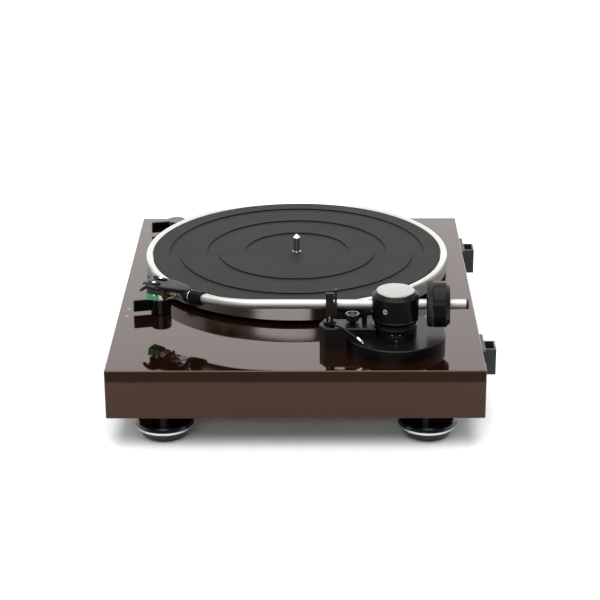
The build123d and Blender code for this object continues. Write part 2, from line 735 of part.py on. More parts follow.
def arm_tube():
    """The bent hollow arm tube."""
    route = FilletPolyline((0, -4, 0), (0, -BEND_AT, 0), (*BEND_END, 0), radius=BEND_RADIUS)
    tube = swept(route, TUBE_RADIUS) - swept(route, TUBE_RADIUS - TUBE_WALL)
    return ARM * tube


def rear_parts():
    """Stub with its end cap, the counterweight and the tracking-force ring."""
    weight_back = WEIGHT_FRONT + WEIGHT_LENGTH
    weight_start = WEIGHT_FRONT + DIAL_RING
    bore = STUB_RADIUS + RUNNING_GAP
    lie_back = ARM * Rot(-90, 0, 0)
    weight_points = [
        (bore, weight_start + 0.2),
        (WEIGHT_RADIUS - 0.5, weight_start + 0.2),
        (WEIGHT_RADIUS, weight_start + 0.7),
        (WEIGHT_RADIUS, weight_back - 3.5),
        (WEIGHT_RADIUS - 3.0, weight_back),
        (bore, weight_back),
    ]
    ring_points = [
        (bore, WEIGHT_FRONT),
        (WEIGHT_RADIUS - 1.2, WEIGHT_FRONT),
        (WEIGHT_RADIUS - 0.2, WEIGHT_FRONT + 0.8),
        (WEIGHT_RADIUS - 0.2, weight_start - 0.2),
        (bore, weight_start - 0.2),
    ]
    return {
        "rear_stub": lie_back * rod(STUB_RADIUS, 4, STUB_END),
        "stub_cap": lie_back * rod(STUB_RADIUS - 0.1, STUB_END, STUB_END + 2.4),
        "counterweight": lie_back * turned(weight_points),
        "force_dial": lie_back * turned(ring_points),
    }


def locking_collar():
    """The ribbed nut that holds the headshell on the tube."""
    points = [(4.6, 0), (6.4, 0), (7.0, 0.6), (7.0, 12.0), (6.4, 12.6), (4.6, 12.6)]
    collar = turned(points)
    count = 24
    for index in range(count):
        collar -= Rot(0, 0, index * 360 / count) * rod(0.35, 1.5, 11.2, 7.1)
    return HEAD * Rot(90, 0, 0) * Pos(0, 0, -COLLAR_BACK) * collar


def slot(side, half_width, low, high):
    """The space of one headshell slot between two heights."""
    outline = Rot(0, 0, 90) * SlotOverall(SLOT_RUN + 2 * half_width, 2 * half_width)
    return Pos(side * SLOT_SPREAD, -SCREW_FORWARD, low) * extrude(outline, high - low)


def headshell():
    """The leaf-shaped headshell with its plug, hub, two stepped slots and finger lift."""
    half_outline = [
        (5.0, -11.0),
        (7.2, -18.0),
        (9.4, -27.0),
        (11.0, -38.0),
        (11.2, -48.0),
        (9.8, -54.0),
        (6.0, -57.0),
    ]
    left = [(-x, y) for x, y in reversed(half_outline)]
    plate = extrude(make_face(Polyline(*half_outline, *left, close=True)), SHELL_TOP - SHELL_LOW)
    plate = Pos(0, 0, SHELL_LOW) * fillet(plate.edges().filter_by(Axis.Z), 1.2)
    for side in (-1, 1):
        plate -= slot(side, 2.1, SHELL_TOP - 2.2, SHELL_TOP + 1)
        plate -= slot(side, 1.4, SHELL_LOW - 1, SHELL_TOP)
    plug = along((0, -1.0, 0), (0, -10.8, 0), 4.4)
    hub = along((0, -10.4, 0), (0, -15.5, 0), 6.6)
    throat = Polyline(
        (-11.0, SHELL_TOP - 0.6),
        (-11.0, -5.8),
        (-15.3, -5.4),
        (-17.7, -0.1),
        (-20.5, 3.1),
        (-26.0, SHELL_LOW),
        (-26.0, SHELL_TOP - 0.6),
        close=True,
    )
    throat = Pos(-4.8, 0, 0) * extrude(Plane.YZ * make_face(throat), 9.6)
    finger = FilletPolyline(
        (10.0, -40.5, 7.0),
        (12.0, -45.0, 8.2),
        (12.6, -50.0, 8.4),
        (12.8, -55.0, 5.8),
        (13.0, -59.0, 2.9),
        radius=4.0,
    )
    return HEAD * (plate + plug + hub + throat + swept(finger, 0.8))


def headshell_screws():
    """The two cartridge screws, seated in the headshell's slots."""
    screws = []
    seat = SHELL_TOP - 2.2
    for side in (-1, 1):
        x, y = side * SLOT_SPREAD, -SCREW_FORWARD
        screws.append(HEAD * (rod(1.9, seat, seat + 1.6, x, y) + rod(1.2, -3.0, seat, x, y)))
    return screws


def cartridge_parts():
    """Cartridge body with its pins, the stylus holder and the cantilever on it."""
    body = block((-8.4, 8.4), (-51.0, -35.0), (-1.0, SHELL_LOW))
    body += block((-6.0, 6.0), (-55.0, -35.0), (-2.8, 2.6))
    body += block((-6.0, 6.0), (-37.5, -35.0), (-5.8, 0.0))
    for screw in headshell_screws():
        body -= HEAD.inverse() * screw
    for x, z in LEAD_PINS:
        body += along((x, -35.2, z), (x, PIN_END, z), 0.6)
    green = Polyline(
        (-58.5, -1.9),
        (-55.2, -2.2),
        (-55.2, -3.0),
        (-45.0, -3.0),
        (-44.4, -8.3),
        (-46.5, -11.0),
        (-56.6, -12.4),
        (-57.9, -8.2),
        close=True,
    )
    holder = Pos(-5.2, 0, 0) * extrude(Plane.YZ * make_face(green), 10.4)
    holder += block((-4.8, 4.8), (-45.0, -37.7), (-8.0, -3.4))
    holder += along((0, -50, -11), (0, -STYLUS_FORWARD, -13.1), 0.35)
    tip = Pos(0, -STYLUS_FORWARD, -STYLUS_DROP) * Cone(0.05, 0.4, 1.2, align=UP)
    return {"cartridge": HEAD * body, "stylus_holder": HEAD * (holder + tip)}


def headshell_leads():
    """The four thin leads between the headshell's throat and the cartridge pins."""
    leads = []
    for x, z in LEAD_PINS:
        start_z = -2.6 + z / 3
        route = FilletPolyline(
            (x * 0.7, -18.4, start_z),
            (x * 0.8, -21.4, start_z - 1.4),
            (x, -25.6, z),
            (x, PIN_END + 0.1, z),
            radius=2.0,
        )
        leads.append(swept(route, 0.45))
    return HEAD * group(leads)


# ---- all nodes ----
def nodes():
    """Every node of the model by name, in the deck frame."""
    model = {
        "plinth": plinth(),
        "bottom_cover": bottom_cover(),
        "cover_screws": group(cover_screws()),
        "spindle_shaft": spindle_shaft(),
        "subplatter": subplatter(),
        "platter": platter(),
        "platter_mat": platter_mat(),
        "motor_screws": group(motor_screws()),
        "speed_knob": knob(SPEED_KNOB),
        "start_knob": knob(START_KNOB),
        "speed_switch": rotary_switch(SPEED_KNOB),
        "start_switch": rotary_switch(START_KNOB),
        "hinge_socket_left": hinge_socket(-1),
        "hinge_socket_right": hinge_socket(1),
        "rear_screws": group(rear_screws()),
        "arm_base": arm_base(),
        "height_lock_screw": height_lock_screw(),
        "arm_pillar": arm_pillar(),
        "lift_housing": lift_housing(),
        "cue_lever": cue_lever(),
        "lift_bar": lift_bar(),
        "anti_skate_dial": anti_skate_dial(),
        "armrest": armrest(),
        "rest_pin": rest_pin(),
        "armrest_latch": armrest_latch(),
        "bearing_drum": bearing_drum(),
        "pivot_screws": group(pivot_screws()),
        "drum_cap": drum_cap(),
        "pivot_block": pivot_block(),
        "arm_tube": arm_tube(),
        "locking_collar": locking_collar(),
        "headshell": headshell(),
        "headshell_screws": group(headshell_screws()),
        "headshell_leads": headshell_leads(),
    }
    for several in (feet, main_bearing, drive, electronics, rear_panel, rear_parts, cartridge_parts):
        model.update(several())
    return model


os.makedirs("parts", exist_ok=True)
for name, shape in nodes().items():
    export_step(DECK * shape, f"parts/{name}.step")
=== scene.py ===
import json
import math

import bmesh
import bpy
from mathutils import Matrix, Vector


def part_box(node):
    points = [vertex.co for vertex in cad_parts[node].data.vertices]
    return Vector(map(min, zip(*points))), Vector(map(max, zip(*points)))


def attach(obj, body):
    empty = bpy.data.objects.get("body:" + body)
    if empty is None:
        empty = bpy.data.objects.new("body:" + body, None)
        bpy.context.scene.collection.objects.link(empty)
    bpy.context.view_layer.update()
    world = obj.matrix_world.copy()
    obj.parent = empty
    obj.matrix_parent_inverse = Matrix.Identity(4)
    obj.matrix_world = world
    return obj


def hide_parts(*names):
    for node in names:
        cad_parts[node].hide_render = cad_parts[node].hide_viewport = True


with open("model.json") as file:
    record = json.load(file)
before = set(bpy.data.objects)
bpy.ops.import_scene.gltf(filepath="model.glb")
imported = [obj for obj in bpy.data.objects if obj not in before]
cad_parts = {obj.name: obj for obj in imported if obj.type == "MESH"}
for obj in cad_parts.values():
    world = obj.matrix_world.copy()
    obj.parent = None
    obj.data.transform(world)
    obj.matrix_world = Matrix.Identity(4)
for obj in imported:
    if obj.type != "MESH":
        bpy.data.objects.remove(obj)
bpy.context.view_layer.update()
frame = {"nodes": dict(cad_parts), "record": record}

# The looks of a belt-drive record player.  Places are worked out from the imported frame: DECK has its
# origin at the middle of the plinth's top, ARM at the tonearm's pivot and HEAD at the tube's front end.
# Sizes on DECK, ARM and HEAD are in millimetres, and MM turns them into the frame's metres.

MM = 0.001


# ---- places ----
def frame_matrix(origin, x_axis, y_axis, z_axis):
    """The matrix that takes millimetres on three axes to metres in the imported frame."""
    turn = Matrix((x_axis, y_axis, z_axis)).transposed().to_4x4()
    return Matrix.Translation(origin) @ turn @ Matrix.Scale(MM, 4)


def joint(name):
    """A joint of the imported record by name."""
    return next(item for item in frame["record"]["behaviour"]["joints"] if item["name"] == name)


def box_centre(node):
    """The middle of a CAD node's box."""
    low, high = (Vector(corner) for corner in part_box(node))
    return (low + high) / 2


plinth_low, plinth_high = (Vector(corner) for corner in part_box("plinth"))
deck_origin = Vector(((plinth_low.x + plinth_high.x) / 2, (plinth_low.y + plinth_high.y) / 2, plinth_high.z))
X_AXIS, Y_AXIS, Z_AXIS = Vector((1, 0, 0)), Vector((0, 1, 0)), Vector((0, 0, 1))
DECK = frame_matrix(deck_origin, X_AXIS, Y_AXIS, Z_AXIS)

back = Vector(joint("weight_slide")["axis"]).normalized()
arm_right = back.cross(Z_AXIS).normalized()
arm_up = arm_right.cross(back)
ARM = frame_matrix(Vector(joint("arm_lift")["pos_m"]), arm_right, back, arm_up)

forward = Vector(joint("collar_turn")["axis"]).normalized()
COLLAR_AHEAD = 6  # from the end of the tube to the collar's joint
head_origin = Vector(joint("collar_turn")["pos_m"]) - COLLAR_AHEAD * MM * forward
HEAD = frame_matrix(head_origin, -forward.cross(arm_up), -forward, arm_up)
platter_centre = Vector(joint("platter_spin")["pos_m"])
pivot = Vector(joint("arm_lift")["pos_m"])


# ---- materials ----
BRUSH_STRETCH = 0.03
DUST_TINT = (0.4, 0.38, 0.35, 1)
DUST_START, DUST_FULL = 0.72, 0.8
DUST_SIZE = 1.6


def noise(tree, place, size, detail=3.0):
    """A noise texture whose blobs are about size millimetres across."""
    node = tree.nodes.new("ShaderNodeTexNoise")
    node.inputs["Scale"].default_value = 1 / (size * MM)
    node.inputs["Detail"].default_value = detail
    tree.links.new(place, node.inputs["Vector"])
    return node.outputs["Fac"]


def spread(tree, value, low, high):
    """A value between about 0.3 and 0.7 stretched to run from low to high."""
    node = tree.nodes.new("ShaderNodeMapRange")
    node.inputs["From Min"].default_value = 0.3
    node.inputs["From Max"].default_value = 0.7
    node.inputs["To Min"].default_value = low
    node.inputs["To Max"].default_value = high
    tree.links.new(value, node.inputs["Value"])
    return node.outputs["Result"]


def vector_math(tree, operation, first, second=None):
    """One step of vector arithmetic; second is a constant."""
    node = tree.nodes.new("ShaderNodeVectorMath")
    node.operation = operation
    tree.links.new(first, node.inputs[0])
    if second is not None:
        node.inputs[1].default_value = second
    return node


def turning_marks(tree, place, centre, axis, pitch):
    """Fine lathe lines about an axis: rings on its flat faces, hoops on its round ones."""
    offset = vector_math(tree, "SUBTRACT", place, centre).outputs["Vector"]
    across = vector_math(tree, "CROSS_PRODUCT", offset, axis).outputs["Vector"]
    radius = vector_math(tree, "LENGTH", across).outputs["Value"]
    height = vector_math(tree, "DOT_PRODUCT", offset, axis).outputs["Value"]
    total = tree.nodes.new("ShaderNodeMath")
    tree.links.new(radius, total.inputs[0])
    tree.links.new(height, total.inputs[1])
    row = tree.nodes.new("ShaderNodeTexNoise")
    row.noise_dimensions = "1D"
    row.inputs["Scale"].default_value = 1 / (pitch * MM)
    row.inputs["Detail"].default_value = 2.0
    tree.links.new(total.outputs["Value"], row.inputs["W"])
    return row.outputs["Fac"]


def brushed(tree, place, direction, size):
    """Noise drawn out along one axis, as left by a brush or a belt sander."""
    node = tree.nodes.new("ShaderNodeMapping")
    node.inputs["Scale"].default_value = [BRUSH_STRETCH if along else 1.0 for along in direction]
    tree.links.new(place, node.inputs["Vector"])
    return noise(tree, node.outputs["Vector"], size)


def finish(
    name,
    colour,
    roughness,
    metallic=0.0,
    drift=0.12,
    patch=22.0,
    grain=0.5,
    relief=0.01,
    rough_drift=0.06,
    specular=0.5,
    gloss_tint=(1.0, 1.0, 1.0),
    turned=None,
    brush=None,
    dust=0.0,
):
    """A material whose colour drifts in patches and whose gloss and relief follow a grain."""
    material = bpy.data.materials.new(name)
    material.use_nodes = True
    tree = material.node_tree
    shader = tree.nodes["Principled BSDF"]
    shader.inputs["Metallic"].default_value = metallic
    shader.inputs["Specular IOR Level"].default_value = specular
    shader.inputs["Specular Tint"].default_value = (*gloss_tint, 1.0)
    place = tree.nodes.new("ShaderNodeTexCoord").outputs["Object"]

    patches = noise(tree, place, patch)
    tint = tree.nodes.new("ShaderNodeMix")
    tint.data_type = "RGBA"
    tint.inputs["A"].default_value = [channel * (1 - drift) for channel in colour] + [1]
    tint.inputs["B"].default_value = [min(channel * (1 + drift), 1) for channel in colour] + [1]
    tree.links.new(spread(tree, patches, 0, 1), tint.inputs["Factor"])
    shade = tint.outputs["Result"]

    if turned:
        marks = turning_marks(tree, place, *turned)
    elif brush:
        marks = brushed(tree, place, brush, grain)
    else:
        marks = noise(tree, place, grain, 2.0)
    if dust:
        specks = tree.nodes.new("ShaderNodeMapRange")
        specks.inputs["From Min"].default_value = DUST_START
        specks.inputs["From Max"].default_value = DUST_FULL
        specks.inputs["To Max"].default_value = dust
        tree.links.new(noise(tree, place, DUST_SIZE, 6.0), specks.inputs["Value"])
        dusty = tree.nodes.new("ShaderNodeMix")
        dusty.data_type = "RGBA"
        dusty.inputs["B"].default_value = DUST_TINT
        tree.links.new(specks.outputs["Result"], dusty.inputs["Factor"])
        tree.links.new(shade, dusty.inputs["A"])
        shade = dusty.outputs["Result"]
    tree.links.new(shade, shader.inputs["Base Color"])

    gloss = tree.nodes.new("ShaderNodeMath")
    tree.links.new(spread(tree, marks, roughness - rough_drift, roughness + rough_drift), gloss.inputs[0])
    tree.links.new(spread(tree, patches, -rough_drift / 2, rough_drift / 2), gloss.inputs[1])
    gloss.use_clamp = True
    tree.links.new(gloss.outputs["Value"], shader.inputs["Roughness"])

    bump = tree.nodes.new("ShaderNodeBump")
    bump.inputs["Strength"].default_value = 0.5
    bump.inputs["Distance"].default_value = relief * MM
    tree.links.new(marks, bump.inputs["Height"])
    tree.links.new(bump.outputs["Normal"], shader.inputs["Normal"])
    return material


satin = {"relief": 0.0003, "rough_drift": 0.015}
polish = {"relief": 0.001, "rough_drift": 0.03}
SATIN_BLACK = (0.002, 0.002, 0.0018)
GLOSS_BLACK = (0.0015, 0.0015, 0.0015)
arm_turning = (pivot, back, 0.5)
upright_turning = (pivot, Z_AXIS, 0.6)
platter_turning = (platter_centre, Z_AXIS, 0.8)

lacquer = finish(
    "lacquer",
    (0.0054, 0.0017, 0.0008),
    0.04,
    drift=0.25,
    patch=60.0,
    grain=14.0,
    relief=0.0015,
    rough_drift=0.015,
    specular=0.5,
    gloss_tint=(1.0, 0.64, 0.46),
)
cover_black = finish("cover_black", (0.03, 0.03, 0.03), 0.55, grain=0.8, relief=0.04)
foot_black = finish("foot_black", GLOSS_BLACK, 0.12, specular=0.3, **polish)
chrome = finish("chrome", (0.66, 0.66, 0.65), 0.10, metallic=1.0, drift=0.04, **polish)
pad_felt = finish("pad_felt", (0.03, 0.03, 0.03), 0.9, grain=0.6, relief=0.2)
steel = finish("steel", (0.56, 0.56, 0.55), 0.30, metallic=1.0, brush=(1, 0, 0), grain=0.4, relief=0.004)
brass = finish("brass", (0.78, 0.56, 0.24), 0.25, metallic=1.0, relief=0.003)
aluminium = finish(
    "platter_aluminium",
    (0.45, 0.445, 0.43),
    0.20,
    metallic=1.0,
    drift=0.03,
    turned=platter_turning,
    **satin,
)
subplatter_plastic = finish("subplatter_plastic", (0.02, 0.02, 0.02), 0.4, turned=platter_turning)
mat_rubber = finish(
    "mat_rubber",
    (0.005, 0.005, 0.0043),
    0.6,
    drift=0.2,
    patch=35.0,
    grain=0.35,
    relief=0.03,
    dust=0.05,
    specular=0.12,
)
belt_rubber = finish("belt_rubber", (0.012, 0.012, 0.012), 0.7, relief=0.03)
knob_black = finish("knob_black", GLOSS_BLACK, 0.12, specular=0.3, **polish)
case_plastic = finish("case_plastic", (0.003, 0.003, 0.003), 0.36, grain=0.4, relief=0.006, specular=0.2)
circuit_green = finish("circuit_green", (0.02, 0.12, 0.05), 0.35, patch=6.0, drift=0.4)
arm_black = finish("arm_black", SATIN_BLACK, 0.30, turned=upright_turning, specular=0.14, **satin)
arm_silver = finish(
    "arm_silver",
    (0.34, 0.336, 0.325),
    0.46,
    metallic=1.0,
    drift=0.03,
    patch=8.0,
    rough_drift=0.03,
    relief=0.0005,
)
drum_black = finish("drum_black", SATIN_BLACK, 0.28, turned=upright_turning, specular=0.08, **satin)
cap_silver = finish(
    "cap_silver", (0.32, 0.316, 0.302), 0.30, metallic=1.0, drift=0.03, turned=upright_turning, relief=0.0005
)
weight_black = finish("weight_black", SATIN_BLACK, 0.28, turned=arm_turning, specular=0.09, **satin)
headshell_satin = finish(
    "headshell_satin", (0.003, 0.003, 0.0028), 0.30, brush=(0, 1, 0), grain=0.5, relief=0.001, specular=0.13
)
# Near-lightless black for the slot pads: washers under the screws whose black also paints the shade of the
# deep slots.
pad_and_slot_shade_black = finish("pad_and_slot_shade_black", (0.001, 0.001, 0.001), 0.5, grain=0.3, relief=0.002, specular=0.05)
steel_dark = finish("steel_dark", (0.16, 0.16, 0.155), 0.25, metallic=1.0, patch=10.0, relief=0.001)
screw_silver = finish("screw_silver", (0.75, 0.75, 0.74), 0.2, metallic=1.0, patch=3.0, relief=0.002)
gold = finish("gold", (0.80, 0.55, 0.16), 0.22, metallic=1.0, patch=4.0, relief=0.002)
cartridge_black = finish("cartridge_black", (0.003, 0.003, 0.003), 0.3, grain=0.3, relief=0.004, specular=0.2)
stylus_green = finish("stylus_green", (0.0, 0.22, 0.06), 0.22, patch=5.0, relief=0.004)
stylus_cream = finish("stylus_cream", (0.72, 0.68, 0.52), 0.35, drift=0.06, patch=4.0, relief=0.004)
lead_colours = {
    "red": (0.07, 0.008, 0.008),
    "green": (0.010, 0.045, 0.016),
    "white": (0.24, 0.235, 0.21),
    "blue": (0.012, 0.020, 0.06),
}
lead_covers = {name: finish(f"lead_{name}", colour, 0.45, patch=2.0) for name, colour in lead_colours.items()}
wire_black = finish("wire_black", (0.004, 0.004, 0.004), 0.4, patch=2.0, specular=0.3)
print_silver = finish("print_silver", (0.30, 0.29, 0.27), 0.35, patch=2.0, drift=0.05, relief=0.001)
print_white = finish("print_white", (0.62, 0.62, 0.60), 0.50, patch=2.0, drift=0.05, relief=0.001)
hinge_grey = finish("hinge_grey", (0.013, 0.013, 0.013), 0.38, grain=0.4, relief=0.006, specular=0.3)

node_materials = {
    "plinth": lacquer,
    "bottom_cover": cover_black,
    "foot_bodies": foot_black,
    "foot_rings": chrome,
    "foot_pads": pad_felt,
    "bearing_housing": brass,
    "bearing_bushes": brass,
    "thrust_ball": chrome,
    "spindle_shaft": chrome,
    "subplatter": subplatter_plastic,
    "platter": aluminium,
    "platter_mat": mat_rubber,
    "motor_pulley": brass,
    "drive_belt": belt_rubber,
    "speed_knob": knob_black,
    "start_knob": knob_black,
    "control_board": circuit_green,
    "phono_board": circuit_green,
    "board_posts": brass,
    "jack_plate": cover_black,
    "phono_jacks": brass,
    "ground_terminal": brass,
    "hinge_socket_left": hinge_grey,
    "hinge_socket_right": hinge_grey,
    "arm_base": arm_black,
    "arm_pillar": arm_black,
    "lift_housing": arm_black,
    "lift_bar": arm_black,
    "rest_pin": brass,
    "bearing_drum": drum_black,
    "pivot_screws": cap_silver,
    "drum_cap": cap_silver,
    "pivot_block": cap_silver,
    "arm_tube": arm_silver,
    "rear_stub": arm_silver,
    "counterweight": weight_black,
    "locking_collar": weight_black,
    "cue_lever": arm_black,
    "headshell_screws": screw_silver,
    "rear_screws": cover_black,
    "height_lock_screw": steel_dark,
}
plastic_nodes = (
    "speed_switch",
    "start_switch",
    "power_inlet",
    "line_switch_slider",
    "anti_skate_dial",
    "armrest",
    "armrest_latch",
    "stub_cap",
    "force_dial",
)
for node in plastic_nodes:
    node_materials[node] = case_plastic
for node, piece in frame["nodes"].items():
    material = node_materials.get(node, steel)
    for material_slot in piece.material_slots:
        material_slot.material = material


# ---- building pieces ----
SHARP_EDGE = math.radians(35)


def revolve(points, segments=96, ribs=0, rib_depth=0.0):
    """A surface turned about the local Z axis from (radius, height) points, ribbed outside if asked."""
    build = bmesh.new()
    outer = max(radius for radius, height in points) - 0.01
    rings = []
    for radius, height in points:
        if radius == 0:
            rings.append([build.verts.new((0, 0, height))])
            continue
        ring = []
        for index in range(segments):
            angle = 2 * math.pi * index / segments
            dip = rib_depth * (1 - math.cos(ribs * angle)) / 2 if ribs and radius > outer else 0
            reach = radius - dip
            ring.append(build.verts.new((reach * math.cos(angle), reach * math.sin(angle), height)))
        rings.append(ring)
    pairs = list(zip(rings, rings[1:]))
    if len(rings[0]) > 1 and len(rings[-1]) > 1:
        pairs.append((rings[-1], rings[0]))
    for first, second in pairs:
        for index in range(segments):
            after = (index + 1) % segments
            if len(first) == 1:
                build.faces.new((first[0], second[index], second[after]))
            elif len(second) == 1:
                build.faces.new((first[index], second[0], first[after]))
            else:
                build.faces.new((first[index], second[index], second[after], first[after]))
    return build


def loft(sections):
    """A skin through rings of points, closed with a face at each end."""
    build = bmesh.new()
    sections = list(sections)
    rings = [[build.verts.new(point) for point in section] for section in sections]
    count = len(rings[0])
    for first, second in zip(rings, rings[1:]):
        for index in range(count):
            after = (index + 1) % count
            build.faces.new((first[index], second[index], second[after], first[after]))
    build.faces.new(rings[0])
    build.faces.new(rings[-1])
    return build


def rounded_ring(centre, across, upward, half_width, half_height, power, count=40):
    """A ring of points: an ellipse where power is 2, nearer to a box as it grows."""
    ring = []
    for index in range(count):
        angle = 2 * math.pi * index / count
        level, rise = math.cos(angle), math.sin(angle)
        sideways = half_width * math.copysign(abs(level) ** (2 / power), level)
        height = half_height * math.copysign(abs(rise) ** (2 / power), rise)
        ring.append(centre + across * sideways + upward * height)
    return ring


def side_profile(outline, half_width):
    """A solid with a (y, z) outline, as wide as asked to both sides of x = 0."""
    return loft([[(x, y, z) for y, z in outline] for x in (-half_width, half_width)])


def plan_profile(outline, low, high):
    """A solid with an (x, y) outline between two heights."""
    return loft([[(x, y, z) for x, y in outline] for z in (low, high)])


def strip(points, power=3.0):
    """A flat band along a route of (x, y, z, half width, half thickness) points."""
    centres = [Vector(point[:3]) for point in points]
    sections = []
    for index, point in enumerate(points):
        ahead_of = centres[min(index + 1, len(points) - 1)]
        behind = centres[max(index - 1, 0)]
        run = (ahead_of - behind).normalized()
        across = (X_AXIS - run * run.x).normalized()
        upward = across.cross(run)
        sections.append(rounded_ring(centres[index], across, upward, point[3], point[4], power, 16))
    return loft(sections)


def piece_from(build, name, place, material, body, bevel=0.0):
    """An object from a mesh in millimetres, set in place, riding on a body."""
    bmesh.ops.transform(build, matrix=place, verts=build.verts)
    bmesh.ops.recalc_face_normals(build, faces=build.faces)
    mesh = bpy.data.meshes.new(name)
    build.to_mesh(mesh)
    build.free()
    mesh.materials.append(material)
    for polygon in mesh.polygons:
        polygon.use_smooth = True
    mesh.set_sharp_from_angle(angle=SHARP_EDGE)
    piece = bpy.data.objects.new(name, mesh)
    bpy.context.collection.objects.link(piece)
    if bevel:
        edge = piece.modifiers.new("bevel", "BEVEL")
        edge.width = bevel * MM
        edge.segments = 3
        edge.limit_method = "ANGLE"
        edge.harden_normals = True
    if body:
        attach(piece, body)
    return piece


def cut(piece, build, place):
    """Cuts a shape out of a piece."""
    tool = piece_from(build, "cutting_tool", place, piece.data.materials[0], None)
    difference = piece.modifiers.new("cut", "BOOLEAN")
    difference.operation = "DIFFERENCE"
    difference.solver = "EXACT"
    difference.object = tool
    graph = bpy.context.evaluated_depsgraph_get()
    mesh = bpy.data.meshes.new_from_object(piece.evaluated_get(graph))
    piece.modifiers.remove(difference)
    piece.data = mesh
    bpy.data.objects.remove(tool)


def wire(name, points, radius, place, material, body):
    """A thin round wire whose smooth route starts and ends at the first and last points."""
    data = bpy.data.curves.new(name, "CURVE")
    data.dimensions = "3D"
    data.bevel_depth = radius * MM
    data.bevel_resolution = 4
    data.resolution_u = 12
    data.use_fill_caps = True
    spline = data.splines.new("NURBS")
    spline.points.add(len(points) - 1)
    for point, spot in zip(spline.points, points):
        point.co = (*(place @ Vector(spot)), 1.0)
    spline.order_u = 4
    spline.use_endpoint_u = True
    data.materials.append(material)
    piece = bpy.data.objects.new(name, data)
    bpy.context.collection.objects.link(piece)
    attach(piece, body)
    return piece


def lettering(name, text, height, place, material, body):
    """Small printed figures that lie on a face."""
    data = bpy.data.curves.new(name, "FONT")
    data.body = text
    data.align_x = "CENTER"
    data.align_y = "CENTER"
    data.size = height
    data.extrude = 0.02
    data.materials.append(material)
    piece = bpy.data.objects.new(name, data)
    piece.matrix_world = place
    bpy.context.collection.objects.link(piece)
    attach(piece, body)
    return piece


def shifted(place, x, y, z, turn=0.0, axis="Z"):
    """A place moved by millimetres and then turned by degrees."""
    return place @ Matrix.Translation((x, y, z)) @ Matrix.Rotation(math.radians(turn), 4, axis)


# ---- headshell, cartridge and stylus ----
SLOT_SIDE = 6.35
SLOT_FORWARD = 47.5
SLOT_HALF_RUN = 4.5
SLOT_HALF_WIDTH = 2.1
SLOT_POINTS = 24
STYLUS_FORWARD = 55.5


def slot_outline(half_width):
    """A long slot with round ends, along the local Y axis."""
    outline = []
    for index in range(SLOT_POINTS):
        angle = 2 * math.pi * (index + 0.5) / SLOT_POINTS
        end = math.copysign(SLOT_HALF_RUN, math.sin(angle))
        outline.append((half_width * math.cos(angle), end + half_width * math.sin(angle)))
    return outline


